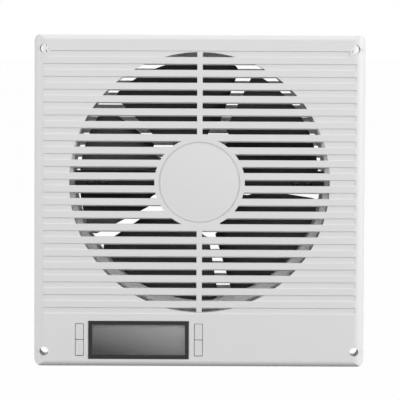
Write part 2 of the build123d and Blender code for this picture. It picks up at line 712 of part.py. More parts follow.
def motor_base():
    """Die-cast foot of the motor with the post that holds both bearings."""
    base = disc(MOTOR_BASE_R, BRACKET_BACK, BASE_BACK) + disc(POST_R, BRACKET_BACK, POST_END)
    base -= disc(BEARING_R, POST_END - BEARING_W, POST_END + 1)
    base -= disc(BEARING_R, BRACKET_BACK - 1, BASE_BACK + 1 + BEARING_W)
    base -= disc(BEARING_R - 1.2, BRACKET_BACK - 1, POST_END + 1)
    for hole in around_axis(disc(SELF_TAPPER_R, FRONT_FACE, 10, z=FAN_Z + MOTOR_BASE_R * 0.72), 3):
        base -= hole
    return base


def motor_screws():
    """Three screws that hold the motor's foot to the bracket."""
    screw = pan_screw(
        0, FAN_Z + MOTOR_BASE_R * 0.72, BRACKET_FRONT, BRACKET_T + MOTOR_BASE_T - 0.3,
        SELF_TAPPER_R, 2 * SELF_TAPPER_R, 1.6,
    )
    return join(around_axis(screw, 3))


def bearing(front):
    """A small ball bearing: two races and a shield in one."""
    race = ring(BEARING_R - SEAT_GAP, SHAFT_R + SHAFT_GAP, front, front + BEARING_W)
    groove_in = SHAFT_R + 0.32 * (BEARING_R - SHAFT_R)
    groove_out = SHAFT_R + 0.72 * (BEARING_R - SHAFT_R)
    for face in (front - 1, front + BEARING_W - 0.3):
        race -= ring(groove_out, groove_in, face, face + 1.3)
    return race


def front_bearing():
    """Bearing in the foot."""
    return bearing(BASE_BACK + 1)


def rear_bearing():
    """Bearing at the end of the post."""
    return bearing(POST_END - BEARING_W)


def stator_core():
    """Laminated core with nine wound teeth, pressed on the post."""
    back = STATOR_FRONT + STATOR_LENGTH
    core = ring(POST_R + 3.5, POST_R + SEAT_GAP, STATOR_FRONT, back)
    tooth = block(TOOTH_W, STATOR_R - POST_R - 3, STATOR_FRONT, back, 0, FAN_Z + (STATOR_R + POST_R + 1) / 2)
    shoe_angle = 360.0 / STATOR_TEETH * 0.78
    shoe = Circle(STATOR_R) - Circle(STATOR_R - 1.8)
    wedge = Polygon(
        (0, 0),
        (-2 * STATOR_R * math.tan(math.radians(shoe_angle / 2)), 2 * STATOR_R),
        (2 * STATOR_R * math.tan(math.radians(shoe_angle / 2)), 2 * STATOR_R),
        align=None,
    )
    tooth += slab(Pos(0, FAN_Z) * (shoe & wedge), STATOR_FRONT, back)
    return core + around_axis(tooth, STATOR_TEETH)


def motor_windings():
    """One coil round each tooth."""
    height = STATOR_R - POST_R - 8.2
    centre = FAN_Z + POST_R + 4.2 + height / 2
    outer = block(TOOTH_W + 2 * COIL_T, height, STATOR_FRONT - COIL_T, STATOR_FRONT + STATOR_LENGTH + COIL_T, 0, centre)
    outer = fillet(outer.edges().filter_by(Axis.Z), 1.6)
    inner = block(
        TOOTH_W + 2 * SEAT_GAP, height + 2, STATOR_FRONT - SEAT_GAP, STATOR_FRONT + STATOR_LENGTH + SEAT_GAP,
        0, centre,
    )
    return join(around_axis(outer - inner, STATOR_TEETH))


def motor_board():
    """Round board under the windings with the drive circuit."""
    return ring(MOTOR_BOARD_R, POST_R + SEAT_GAP, MOTOR_BOARD_FRONT, MOTOR_BOARD_FRONT + BOARD_T)


def rotor_cup():
    """Steel cup that turns round the stator."""
    cup = disc(CUP_R, CUP_FRONT, CUP_END)
    cup -= disc(CUP_R - CUP_T, CUP_FRONT - 1, CUP_END - CUP_T)
    cup = fillet(cup.faces().sort_by(Axis.Y)[-1].edges(), 1.2)
    cup += disc(2 * SHAFT_R, CUP_END - CUP_T - 1.5, CUP_END)
    cup -= disc(SHAFT_R, CUP_FRONT, CUP_END + 1)
    for hole in around_axis(disc(SELF_TAPPER_R, CUP_FRONT, CUP_END + 1, z=FAN_Z + HUB_SCREW_PCD / 2), HUB_SCREWS):
        cup -= hole
    return cup


def rotor_magnet():
    """Ring magnet inside the cup."""
    back = STATOR_FRONT + STATOR_LENGTH
    return ring(CUP_R - CUP_T - SEAT_GAP, STATOR_R + MAGNET_GAP, STATOR_FRONT, back)


def motor_shaft():
    """Shaft fixed in the cup, running in both bearings."""
    shaft = disc(SHAFT_R - SEAT_GAP, BRACKET_BACK + 0.5, CUP_END)
    return shaft - ring(SHAFT_R + 1, SHAFT_R - 0.5, BRACKET_BACK + 1.4, BRACKET_BACK + 2.0)


def shaft_clip():
    """Spring clip in the groove at the front of the shaft."""
    clip = Circle(2 * SHAFT_R) - Circle(SHAFT_R - 0.5 + SEAT_GAP)
    clip -= Pos(0, -SHAFT_R * 2) * Rectangle(1.2 * SHAFT_R, SHAFT_R * 4)
    return slab(Pos(0, FAN_Z) * clip, BRACKET_BACK + 1.45, BRACKET_BACK + 1.95)


# Impeller

def blade_section(angle):
    """Thin outline of the blade in one plane through the axis."""
    share = angle / (180.0 / BLADE_COUNT)
    inner = HUB_R - HUB_WALL - 2
    outer = TIP_R + 4
    camber = 1.6 * (1 - share * share)
    points = []
    for radius, side in ((inner, -1), (outer, -1), (outer, 1), (inner, 1)):
        part = (radius - HUB_R) / (TIP_R - HUB_R)
        rise = BLADE_ROOT_RISE + (BLADE_TIP_RISE - BLADE_ROOT_RISE) * part
        thick = BLADE_ROOT_T + (BLADE_TIP_T - BLADE_ROOT_T) * part
        depth = BLADE_MID + share * rise / 2 + camber + side * thick / 2
        turn = math.radians(90 - angle)
        points.append((radius * math.cos(turn), depth, radius * math.sin(turn)))
    return Wire.make_polygon(points, close=True)


def blade_plan():
    """Front view of one upright blade, between two gaps."""
    half = 180.0 / BLADE_COUNT
    edge = half - BLADE_GAP_ANGLE / 2
    reach = 2 * TIP_R
    outline = Polygon(
        (0, 0),
        (-reach * math.sin(math.radians(edge)), reach * math.cos(math.radians(edge))),
        (reach * math.sin(math.radians(edge)), reach * math.cos(math.radians(edge))),
        align=None,
    )
    plan = (Circle(TIP_R) & outline) - Circle(HUB_R - HUB_WALL / 2)
    for side in (-1, 1):
        turn = math.radians(90 - side * half)
        relief = Pos(ROOT_RELIEF_AT * math.cos(turn), ROOT_RELIEF_AT * math.sin(turn)) * Circle(ROOT_RELIEF_R)
        plan -= relief
    tips = [v for v in plan.vertices() if math.hypot(v.X, v.Y) > TIP_R - 0.5]
    return fillet(tips, TIP_CORNER_R)


def blade():
    """One wide blade, upright, ready to be turned to its place."""
    steps = 6
    half = 180.0 / BLADE_COUNT
    wires = [blade_section(-half + 2 * half * i / steps) for i in range(steps + 1)]
    surface = Solid.make_loft(wires)
    plan = slab(blade_plan(), -10, 60)
    return Pos(0, 0, FAN_Z) * (Part() + surface & plan)


def impeller():
    """Hub with five wide blades, moulded in one."""
    hub = disc(HUB_R, HUB_FRONT, HUB_END)
    hub = fillet(hub.faces().sort_by(Axis.Y)[-1].edges(), HUB_ROUND)
    hub -= disc(HUB_R - HUB_WALL, HUB_FRONT - 1, HUB_END - HUB_WALL)
    ring_in = CUP_R + FIT_GAP
    hub += ring(ring_in + HUB_RING_T, ring_in, HUB_FRONT + 4, HUB_END - HUB_WALL)
    rib_length = HUB_R - HUB_WALL - ring_in - HUB_RING_T + 1
    rib = block(
        HUB_RIB_T, rib_length, HUB_FRONT + 6, HUB_END - HUB_WALL,
        0, FAN_Z + ring_in + HUB_RING_T - 0.5 + rib_length / 2,
    )
    hub += around_axis(rib, HUB_RIBS)
    boss = disc(2.4 * SELF_TAPPER_R, CUP_END, HUB_END - HUB_WALL, z=FAN_Z + HUB_SCREW_PCD / 2)
    hub += around_axis(boss, HUB_SCREWS)
    drill = disc(SELF_TAPPER_R + FIT_GAP, HUB_FRONT, HUB_END + 1, z=FAN_Z + HUB_SCREW_PCD / 2)
    hub -= around_axis(drill, HUB_SCREWS)
    first = BLADE_FIRST_GAP - 90 + 180.0 / BLADE_COUNT
    return hub + around_axis(blade(), BLADE_COUNT, first)


def impeller_screws():
    """Three screws that hold the impeller to the rotor cup."""
    screw = pan_screw(0, 0, 0, HUB_END - CUP_END + CUP_T - 0.3, SELF_TAPPER_R, 2 * SELF_TAPPER_R, 1.5)
    screw = Pos(0, HUB_END, FAN_Z + HUB_SCREW_PCD / 2) * (Rot(0, 0, 180) * screw)
    return join(around_axis(screw, HUB_SCREWS))


# Wires and inlet

def motor_lead():
    """Lead from the motor's board, behind the bracket and down to the control board."""
    z = FAN_Z - LEAD_DROP
    start_x = -math.sqrt(MOTOR_BOARD_R ** 2 - (LEAD_DROP - LEAD_R) ** 2) - FIT_GAP
    route = FilletPolyline(
        (start_x, LEAD_Y, z),
        (LEAD_X, LEAD_Y, z),
        (LEAD_X, LEAD_Y, DISPLAY_Z),
        (CONNECTOR_X - CONNECTOR_W / 2, LEAD_Y, DISPLAY_Z),
        radius=LEAD_BEND,
    )
    section = Plane(origin=route @ 0, z_dir=route % 0) * Circle(LEAD_R)
    return sweep(section, path=route)


def power_inlet():
    """Round low-voltage socket in the bottom edge."""
    bottom = -PANEL_H / 2
    nose_h = PANEL_WALL + 0.5
    body = Pos(INLET_X, INLET_Y, bottom + PANEL_WALL + INLET_BODY_H / 2) * Box(
        INLET_BODY_W, INLET_BODY_W, INLET_BODY_H
    )
    nose = Pos(INLET_X, INLET_Y, bottom + nose_h / 2 + 0.3) * Cylinder(INLET_R, nose_h)
    bore_h = PANEL_WALL + INLET_BODY_H - 2
    bore = Pos(INLET_X, INLET_Y, bottom + bore_h / 2) * Cylinder(INLET_BORE_R, bore_h)
    pin = Pos(INLET_X, INLET_Y, bottom + 1 + bore_h / 2) * Cylinder(INLET_PIN_R, bore_h)
    return body + nose - bore + pin


def power_lead():
    """Short lead from the inlet to the control board."""
    start = power_plug_x() + CONNECTOR_W / 2
    end = INLET_X - INLET_BODY_W / 2
    height = -PANEL_H / 2 + PANEL_WALL + INLET_BODY_H - 3
    route = FilletPolyline(
        (start, BOARD_BACK + 3, DISPLAY_Z),
        (start + 12, BOARD_BACK + 3, DISPLAY_Z),
        (end - 10, INLET_Y, height),
        (end, INLET_Y, height),
        radius=LEAD_BEND,
    )
    section = Plane(origin=route @ 0, z_dir=route % 0) * Circle(LEAD_R)
    return sweep(section, path=route)


def nodes():
    """Every sub-part by the name of its file."""
    parts = {
        "front_cover": front_cover(),
        "back_frame": back_frame(),
        "duct_collar": duct_collar(),
        "cover_screws": cover_screws(),
        "wall_gasket": wall_gasket(),
        "front_sleeve": front_sleeve(),
        "front_sleeve_screws": front_sleeve_screws(),
        "display_bezel": display_bezel(),
        "display_lens": display_lens(),
        "display_module": display_module(),
        "control_board": control_board(),
        "board_components": board_components(),
        "board_screws": board_screws(),
        "tact_switches": tact_switches(),
        "motor_bracket": motor_bracket(),
        "bracket_screws": bracket_screws(),
        "motor_base": motor_base(),
        "motor_screws": motor_screws(),
        "front_bearing": front_bearing(),
        "rear_bearing": rear_bearing(),
        "stator_core": stator_core(),
        "motor_windings": motor_windings(),
        "motor_board": motor_board(),
        "motor_lead": motor_lead(),
        "power_inlet": power_inlet(),
        "power_lead": power_lead(),
        "impeller": impeller(),
        "impeller_screws": impeller_screws(),
        "rotor_cup": rotor_cup(),
        "rotor_magnet": rotor_magnet(),
        "motor_shaft": motor_shaft(),
        "shaft_clip": shaft_clip(),
        "rear_grille": rear_grille(),
        "rear_sleeve": rear_sleeve(),
        "rear_sleeve_screws": rear_sleeve_screws(),
        "rear_gasket": rear_gasket(),
    }
    for side, side_name in ((-1, "left"), (1, "right")):
        for level, level_name in ((1, "upper"), (-1, "lower")):
            parts[f"button_{level_name}_{side_name}"] = button(side, level)
            parts[f"plunger_{level_name}_{side_name}"] = plunger(side, level)
    return parts


os.makedirs("parts", exist_ok=True)
for name, shape in nodes().items():
    export_step(shape, f"parts/{name}.step")
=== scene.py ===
"""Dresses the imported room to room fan: finishes, screws, foam rings, coils and a studio."""

import math

import bmesh
import bpy
from bpy.props import FloatProperty, FloatVectorProperty, PointerProperty
from mathutils import Matrix, Vector


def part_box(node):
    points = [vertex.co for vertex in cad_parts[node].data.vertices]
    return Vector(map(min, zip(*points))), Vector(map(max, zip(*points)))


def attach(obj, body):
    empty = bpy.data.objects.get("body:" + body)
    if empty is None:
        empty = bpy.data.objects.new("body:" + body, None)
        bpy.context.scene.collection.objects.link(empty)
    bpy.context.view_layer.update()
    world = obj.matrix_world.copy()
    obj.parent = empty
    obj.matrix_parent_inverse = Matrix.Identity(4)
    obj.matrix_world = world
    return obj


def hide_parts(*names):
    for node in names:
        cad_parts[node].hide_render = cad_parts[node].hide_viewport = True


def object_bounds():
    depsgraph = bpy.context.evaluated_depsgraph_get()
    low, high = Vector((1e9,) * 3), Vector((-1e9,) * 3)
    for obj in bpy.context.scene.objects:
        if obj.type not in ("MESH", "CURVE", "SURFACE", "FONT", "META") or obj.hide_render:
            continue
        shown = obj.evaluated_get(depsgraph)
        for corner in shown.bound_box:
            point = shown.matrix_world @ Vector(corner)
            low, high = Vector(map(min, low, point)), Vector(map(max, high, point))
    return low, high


bl_info = {
    "name": "Room to room fan",
    "version": (1, 0, 0),
    "blender": (4, 5, 0),
    "location": "3D View > Sidebar > Fan",
    "description": "Finishes and small pieces of a through-wall room to room fan",
    "category": "Object",
}

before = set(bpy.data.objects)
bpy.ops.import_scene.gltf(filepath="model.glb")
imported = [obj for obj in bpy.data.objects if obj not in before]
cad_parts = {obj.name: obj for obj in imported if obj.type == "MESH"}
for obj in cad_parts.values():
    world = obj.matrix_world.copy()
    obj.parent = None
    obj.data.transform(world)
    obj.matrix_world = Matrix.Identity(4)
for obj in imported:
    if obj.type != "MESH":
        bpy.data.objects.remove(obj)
CAD_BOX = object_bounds()

MM = 0.001
FAN_Z = 14.2 * MM
FLOOR_Z = CAD_BOX[0][2]
FLOOR_HALF = 30.0
MERGE_WITHIN = 0.002 * MM
SHARP_ANGLE = math.radians(32)

# A screw's head narrows in steps, each a share of its height and the scale of its rim.
HEAD_STEPS = ((0.26, 0.93), (0.16, 0.84), (0.08, 0.72))
# Radians, so that no two cross recesses in a row of screws stand alike.
FIRST_TURN = 0.4
NEXT_TURN = 1.37
COIL_LAYERS = 2

# Steps of a foam ring's crown and round its circle.
FOAM_STEPS = 6
FOAM_TURNS = 120

# Share of the floor's colour that is plain white to the camera; the rest keeps the shadow.
PAPER_WHITE = 0.985
SENSOR_WIDTH = 36.0
# Each light's name, place, width and height in metres, and the setting that holds its power.
LAMPS = (
    ("front_softbox", (-0.3, -2.6, 1.6), (2.2, 1.6), "key"),
    ("left_softbox", (-2.0, -0.8, 0.8), (1.2, 1.8), "left"),
    ("right_softbox", (2.0, -0.6, 0.6), (1.2, 1.8), "right"),
    ("back_softbox", (0.0, 1.3, 1.0), (2.4, 1.4), "back"),
)


def linear(code):
    """An sRGB hex colour as linear red, green, blue and alpha."""
    parts = [int(code[i : i + 2], 16) / 255 for i in (1, 3, 5)]
    curve = [c / 12.92 if c <= 0.04045 else ((c + 0.055) / 1.055) ** 2.4 for c in parts]
    return (*curve, 1.0)


def colour(name, code, note):
    """A colour property that opens in the colour picker."""
    return FloatVectorProperty(
        name=name, description=note, subtype="COLOR", size=4, min=0, max=1, default=linear(code)
    )


def length(name, millimetres, note):
    """A length property, given in millimetres and kept in metres."""
    return FloatProperty(
        name=name, description=note, unit="LENGTH", precision=5, min=0, default=millimetres * MM
    )


class FanColours(bpy.types.PropertyGroup):
    """Colours of the fan's finishes."""

    cover: colour("Cover", "#EAEAEA", "White ABS of both panels")
    keys: colour("Keys", "#E7E7E7", "White ABS of the four keys")
    duct: colour("Duct", "#F0F0F0", "White polypropylene of the sleeves")
    bezel: colour("Bezel", "#0E0F10", "Polished black display frame")
    lens: colour("Lens", "#CFCFCF", "Tint of the clear display window")
    # The screen's two colours are the ends of a painted reflection: the glass's own dark grey at the lower
    # left, painted lighter up to near white at the upper right.
    painted_reflection_dark_end: colour("Screen, dark end", "#242424", "Liquid crystal glass, lower left")
    painted_reflection_light_end: colour("Screen, light end", "#F0F0F0", "Liquid crystal glass, upper right")
    blades: colour("Blades", "#3C3D40", "Glossy black of the impeller")
    bracket: colour("Bracket", "#101112", "Black powder coat")
    zinc: colour("Zinc", "#B9BBBD", "Zinc plated screws")
    oxide: colour("Oxide", "#3A3A3C", "Blackened screws of the bracket")
    foam: colour("Foam", "#2B2C2E", "Closed-cell foam rings")
    board: colour("Board", "#12402A", "Solder mask")
    copper: colour("Copper", "#B5652F", "Enamelled wire")


class FanSizes(bpy.types.PropertyGroup):
    """Sizes of the small pieces."""

    recess_width: length("Recess width", 0.75, "Width of a screw's cross recess")
    recess_depth: length("Recess depth", 1.0, "Depth of a screw's cross recess")
    thread_pitch: length("Thread pitch", 1.0, "Distance between two turns of a screw's thread")
    wire: length("Wire", 0.8, "Diameter of the winding wire")
    foam_crown: length("Foam crown", 0.5, "Rise of the foam rings' outer faces")
    edge_soft: length("Edge softness", 0.18, "Radius that the light finds on moulded edges")


class StudioSettings(bpy.types.PropertyGroup):
    """The camera and the light."""

    distance: length("Distance", 2300.0, "From the camera to the front panel")
    height: length("Height", 129.0, "Camera height above the middle of the panel")
    side: length("Side", 7.0, "Camera offset to the left")
    aim_side: length("Aim right", 0.4, "How far right of the panel's middle the camera looks")
    aim_height: length("Aim up", 0.67, "How far above the panel's middle the camera looks")
    lens: FloatProperty(name="Lens", description="Focal length", unit="CAMERA", default=264.3)
    roll: FloatProperty(
        name="Roll", description="Camera turn", subtype="ANGLE", default=math.radians(0.25)
    )
    ambient: FloatProperty(name="Ambient", description="Strength of the world", default=0.49)
    key: FloatProperty(name="Key", description="Power of the front light", unit="POWER", default=27.0)
    left: FloatProperty(name="Left", description="Power of the left light", unit="POWER", default=15.0)
    back: FloatProperty(name="Back", description="Power of the light behind", unit="POWER", default=24.0)
    right: FloatProperty(name="Right", description="Power of the right light", unit="POWER", default=30.0)


def add(tree, kind, inputs=None, **settings):
    """Adds a node, with its settings, and its inputs as values or as links from sockets."""
    made = tree.nodes.new(kind)
    for key, value in settings.items():
        setattr(made, key, value)
    for key, value in (inputs or {}).items():
        if isinstance(value, bpy.types.NodeSocket):
            tree.links.new(value, made.inputs[key])
        elif isinstance(value, (list, tuple)) and value and isinstance(value[0], bpy.types.NodeSocket):
            for each in value:
                tree.links.new(each, made.inputs[key])
        else:
            made.inputs[key].default_value = value
    return made


def new_material(name):
    """An empty node material, its tree, and the object's own coordinates in it."""
    made = bpy.data.materials.get(name) or bpy.data.materials.new(name)
    made.use_nodes = True
    tree = made.node_tree
    tree.nodes.clear()
    return made, tree, add(tree, "ShaderNodeTexCoord").outputs["Object"]


def moulded(name, base, rough, grain_mm, grain_height, variation=0.03, ior=1.53, soft=0.0):
    """Moulded plastic: an even colour with a spark-eroded grain and slightly clouded gloss."""
    made, tree, place = new_material(name)
    cloud = add(tree, "ShaderNodeTexNoise", {"Vector": place, "Scale": 1 / (60 * MM), "Detail": 3.0})
    grain = add(
        tree, "ShaderNodeTexNoise", {"Vector": place, "Scale": 1 / (grain_mm * MM), "Detail": 2.0}
    )
    tone = add(
        tree,
        "ShaderNodeHueSaturation",
        {
            "Color": base,
            "Value": add(
                tree,
                "ShaderNodeMapRange",
                {"Value": cloud.outputs["Fac"], "To Min": 1 - variation, "To Max": 1 + variation},
            ).outputs["Result"],
        },
    )
    gloss = add(
        tree,
        "ShaderNodeMapRange",
        {"Value": cloud.outputs["Fac"], "To Min": rough * 0.9, "To Max": rough * 1.1},
    )
    edge = {}
    if soft:
        edge = {"Normal": add(tree, "ShaderNodeBevel", {"Radius": soft}, samples=6).outputs[0]}
    bump = add(
        tree,
        "ShaderNodeBump",
        {"Height": grain.outputs["Fac"], "Strength": 0.35, "Distance": grain_height * MM, **edge},
    )
    shader = add(
        tree,
        "ShaderNodeBsdfPrincipled",
        {
            "Base Color": tone.outputs["Color"],
            "Roughness": gloss.outputs["Result"],
            "IOR": ior,
            "Normal": bump.outputs["Normal"],
        },
    )
    add(tree, "ShaderNodeOutputMaterial", {"Surface": shader.outputs[0]})
    return made


def metal(name, base, rough, grain_mm, grain_height, stretch=(1, 1, 1)):
    """Bare metal: its own colour in the reflection, with a grain that stretch can brush."""
    made, tree, place = new_material(name)
    lay = add(tree, "ShaderNodeMapping", {"Vector": place, "Scale": stretch})
    grain = add(
        tree,
        "ShaderNodeTexNoise",
        {"Vector": lay.outputs[0], "Scale": 1 / (grain_mm * MM), "Detail": 3.0},
    )
    gloss = add(
        tree,
        "ShaderNodeMapRange",
        {"Value": grain.outputs["Fac"], "To Min": rough * 0.8, "To Max": rough * 1.25},
    )
    bump = add(
        tree,
        "ShaderNodeBump",
        {"Height": grain.outputs["Fac"], "Strength": 0.3, "Distance": grain_height * MM},
    )
    shader = add(
        tree,
        "ShaderNodeBsdfPrincipled",
        {
            "Base Color": base,
            "Metallic": 1.0,
            "Roughness": gloss.outputs["Result"],
            "Normal": bump.outputs["Normal"],
        },
    )
    add(tree, "ShaderNodeOutputMaterial", {"Surface": shader.outputs[0]})
    return made


def finish_nodes(material, *names):
    """Gives CAD nodes a material in place of the plain one that they come with."""
    for name in names:
        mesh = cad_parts[name].data
        for slot in range(len(mesh.materials)):
            mesh.materials[slot] = material


def islands(name):
    """The loose solids of a CAD node, each as a list of its corners."""
    work = bmesh.new()
    work.from_mesh(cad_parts[name].data)
    bmesh.ops.remove_doubles(work, verts=work.verts, dist=MERGE_WITHIN)
    met, found = set(), []
    # The corners are met in the mesh's own order, so that every run gives the same sums.
    for first in work.verts:
        if first in met:
            continue
        met.add(first)
        todo, group = [first], []
        while todo:
            vert = todo.pop()
            group.append(vert.co.copy())
            for link in vert.link_edges:
                other = link.other_vert(vert)
                if other not in met:
                    met.add(other)
                    todo.append(other)
        found.append(group)
    work.free()
    return sorted(found, key=lambda g: tuple(round(sum(c[i] for c in g) / len(g), 4) for i in (0, 2, 1)))


def plain_object(name, mesh):
    """A new object with this mesh, at the origin, smooth except at its sharp edges."""
    made = bpy.data.objects.new(name, mesh)
    bpy.context.scene.collection.objects.link(made)
    mesh.polygons.foreach_set("use_smooth", [True] * len(mesh.polygons))
    mesh.set_sharp_from_angle(angle=SHARP_ANGLE)
    return made


def grown(name, seed_mesh, tree, values):
    """Runs a geometry tree on a mesh and keeps its result as a plain mesh."""
    carrier = bpy.data.objects.new(name + "_seed", seed_mesh)
    bpy.context.scene.collection.objects.link(carrier)
    modifier = carrier.modifiers.new("Geometry", "NODES")
    modifier.node_group = tree
    for item in tree.interface.items_tree:
        if item.item_type == "SOCKET" and item.in_out == "INPUT" and item.name in values:
            modifier[item.identifier] = values[item.name]
    carrier.update_tag()
    graph = bpy.context.evaluated_depsgraph_get()
    mesh = bpy.data.meshes.new_from_object(carrier.evaluated_get(graph))
    carrier.modifiers.remove(modifier)
    bpy.data.objects.remove(carrier)
    mesh.name = name
    for key in [a.name for a in mesh.attributes if a.name in ("facing", "turn")]:
        mesh.attributes.remove(mesh.attributes[key])
    return plain_object(name, mesh)


def new_tree(name, inputs):
    """An empty geometry tree with named inputs, each a (name, socket kind, default)."""
    tree = bpy.data.node_groups.new(name, "GeometryNodeTree")
    tree.interface.new_socket("Geometry", in_out="OUTPUT", socket_type="NodeSocketGeometry")
    tree.interface.new_socket("Geometry", in_out="INPUT", socket_type="NodeSocketGeometry")
    for label, kind, default in inputs:
        socket = tree.interface.new_socket(label, in_out="INPUT", socket_type=kind)
        if default is not None:
            socket.default_value = default
    return tree, add(tree, "NodeGroupInput").outputs


def facing_rotation(tree):
    """Turns a copy's own Z towards the facing that its seed point holds."""
    facing = add(tree, "GeometryNodeInputNamedAttribute", {"Name": "facing"}, data_type="FLOAT_VECTOR")
    return add(
        tree,
        "FunctionNodeAlignRotationToVector",
        {"Vector": facing.outputs["Attribute"]},
        axis="Z",
    ).outputs[0]


def copies_on_seeds(tree, entry, shape, rotation):
    """Stands the shape on every seed point, makes the copies real and gives them their finish."""
    points = add(
        tree,
        "GeometryNodeInstanceOnPoints",
        {"Points": entry["Geometry"], "Instance": shape, "Rotation": rotation},
    ).outputs[0]
    real = add(tree, "GeometryNodeRealizeInstances", {"Geometry": points}).outputs[0]
    painted = add(
        tree, "GeometryNodeSetMaterial", {"Geometry": real, "Material": entry["Finish"]}
    ).outputs[0]
    add(tree, "NodeGroupOutput", {0: painted})


def seed_points(name, places, facings):
    """A mesh of loose points, each with the way that its copy faces."""
    seed = bpy.data.meshes.new(name)
    seed.from_pydata(places, [], [])
    facing = seed.attributes.new("facing", "FLOAT_VECTOR", "POINT")
    facing.data.foreach_set("vector", [part for out in facings for part in out])
    return seed


def screw_tree():
    """Cross-recessed screws, one on each seed point, their heads towards its facing."""
    numbers = [
        ("Head Radius", 3.0 * MM),
        ("Head Height", 2.0 * MM),
        ("Shank Radius", 1.5 * MM),
        ("Shank Length", 8.0 * MM),
        ("Recess Width", 0.75 * MM),
        ("Recess Depth", 1.0 * MM),
        ("Thread Turns", 6.0),
    ]
    tree, entry = new_tree(
        "cross_recessed_screws",
        [(label, "NodeSocketFloat", value) for label, value in numbers]
        + [("Finish", "NodeSocketMaterial", None)],
    )

    known = {label: entry[label] for label, _ in numbers}
    # Each size is worked out from two others, from the tree's inputs on.
    for name, operation, *values in (
        ("base", "MULTIPLY", "Head Height", 0.5),
        ("base middle", "MULTIPLY", "Head Height", 0.25),
        ("arm", "MULTIPLY", "Head Radius", 1.15),
        ("shank middle", "MULTIPLY", "Shank Length", -0.5),
        ("pitch", "DIVIDE", "Shank Length", "Thread Turns"),
        ("turns", "SUBTRACT", "Thread Turns", 1.2),
        ("thread length", "MULTIPLY", "turns", "pitch"),
        ("thread radius", "MULTIPLY", "pitch", 0.16),
        ("run-out", "MULTIPLY", "pitch", 0.4),
        ("thread start", "SUBTRACT", "run-out", "Shank Length"),
    ):
        inputs = {place: known.get(value, value) for place, value in enumerate(values)}
        known[name] = add(tree, "ShaderNodeMath", inputs, operation=operation).outputs[0]
    up = {
        name: add(tree, "ShaderNodeCombineXYZ", {"Z": known[name]}).outputs[0]
        for name in ("base middle", "Head Height", "shank middle", "thread start")
    }
    head = add(
        tree,
        "GeometryNodeMeshCylinder",
        {"Vertices": 28, "Radius": entry["Head Radius"], "Depth": known["base"]},
    )
    mesh, top = head.outputs["Mesh"], head.outputs["Top"]
    for share, narrow in HEAD_STEPS:
        rise = add(tree, "ShaderNodeMath", {0: entry["Head Height"], 1: share}, operation="MULTIPLY")
        step = add(
            tree,
            "GeometryNodeExtrudeMesh",
            {
                "Mesh": mesh,
                "Selection": top,
                "Offset Scale": rise.outputs[0],
                "Individual": False,
            },
        )
        mesh, top = step.outputs["Mesh"], step.outputs["Top"]
        mesh = add(
            tree, "GeometryNodeScaleElements", {"Geometry": mesh, "Selection": top, "Scale": narrow}
        ).outputs[0]
    placed = add(
        tree,
        "GeometryNodeTransform",
        {"Geometry": mesh, "Translation": up["base middle"]},
    ).outputs[0]
    slots = []
    # One arm is a little shallower, so that the floors of the two don't lie in one plane.
    for turn, depth in ((0.0, 2.0), (math.pi / 2, 1.88)):
        deep = add(tree, "ShaderNodeMath", {0: entry["Recess Depth"], 1: depth}, operation="MULTIPLY")
        size = add(
            tree,
            "ShaderNodeCombineXYZ",
            {"X": known["arm"], "Y": entry["Recess Width"], "Z": deep.outputs[0]},
        ).outputs[0]
        bar = add(tree, "GeometryNodeMeshCube", {"Size": size}).outputs[0]
        slots.append(
            add(
                tree,
                "GeometryNodeTransform",
                {"Geometry": bar, "Translation": up["Head Height"], "Rotation": (0, 0, turn)},
            ).outputs[0]
        )
    cut = add(
        tree, "GeometryNodeMeshBoolean", {"Mesh 1": placed, "Mesh 2": slots}, operation="DIFFERENCE"
    ).outputs[0]
    shank = add(
        tree,
        "GeometryNodeMeshCylinder",
        {"Vertices": 14, "Radius": entry["Shank Radius"], "Depth": entry["Shank Length"]},
    ).outputs[0]
    shank = add(
        tree,
        "GeometryNodeTransform",
        {"Geometry": shank, "Translation": up["shank middle"]},
    ).outputs[0]
    spiral = add(
        tree,
        "GeometryNodeCurveSpiral",
        {
            "Resolution": 14,
            "Rotations": known["turns"],
            "Start Radius": entry["Shank Radius"],
            "End Radius": entry["Shank Radius"],
            "Height": known["thread length"],
        },
    ).outputs[0]
    rib = add(
        tree,
        "GeometryNodeCurvePrimitiveCircle",
        {"Resolution": 4, "Radius": known["thread radius"]},
    ).outputs["Curve"]
    thread = add(
        tree, "GeometryNodeCurveToMesh", {"Curve": spiral, "Profile Curve": rib, "Fill Caps": True}
    ).outputs[0]
    thread = add(
        tree,
        "GeometryNodeTransform",
        {"Geometry": thread, "Translation": up["thread start"]},
    ).outputs[0]
    whole = add(tree, "GeometryNodeJoinGeometry", {"Geometry": [cut, shank, thread]}).outputs[0]
    turn = add(tree, "GeometryNodeInputNamedAttribute", {"Name": "turn"}, data_type="FLOAT")
    spin = add(
        tree,
        "FunctionNodeAxisAngleToRotation",
        {"Axis": (0, 0, 1), "Angle": turn.outputs["Attribute"]},
    )
    rotation = add(
        tree,
        "FunctionNodeRotateRotation",
        {"Rotation": facing_rotation(tree), "Rotate By": spin.outputs[0]},
        rotation_space="LOCAL",
    ).outputs[0]
    copies_on_seeds(tree, entry, whole, rotation)
    return tree


def screw_axis(kind, middle):
    """The way a screw's head faces: front, back or outward."""
    if kind in ("front", "back"):
        return Vector((0, -1 if kind == "front" else 1, 0))
    return Vector((middle.x, 0, middle.z - FAN_Z)).normalized()


def screw_seeds(node, kind):
    """Seed points at the underside of each screw's head, and the screws' sizes, off a CAD node."""
    places, sizes = [], []
    for group in islands(node):
        middle = sum(group, Vector()) / len(group)
        axis = screw_axis(kind, middle)
        reach = [(p - middle).dot(axis) for p in group]
        off = [((p - middle) - axis * (p - middle).dot(axis)).length for p in group]
        top, tip, widest = max(reach), min(reach), max(off)
        wide = [r for r, o in zip(reach, off) if o > widest * 0.9]
        under = min(wide)
        shank = max(o for r, o in zip(reach, off) if r < under - 0.3 * MM)
        places.append((middle + axis * under, axis))
        sizes.append((widest, top - under, shank, under - tip))
    return places, sizes[0]


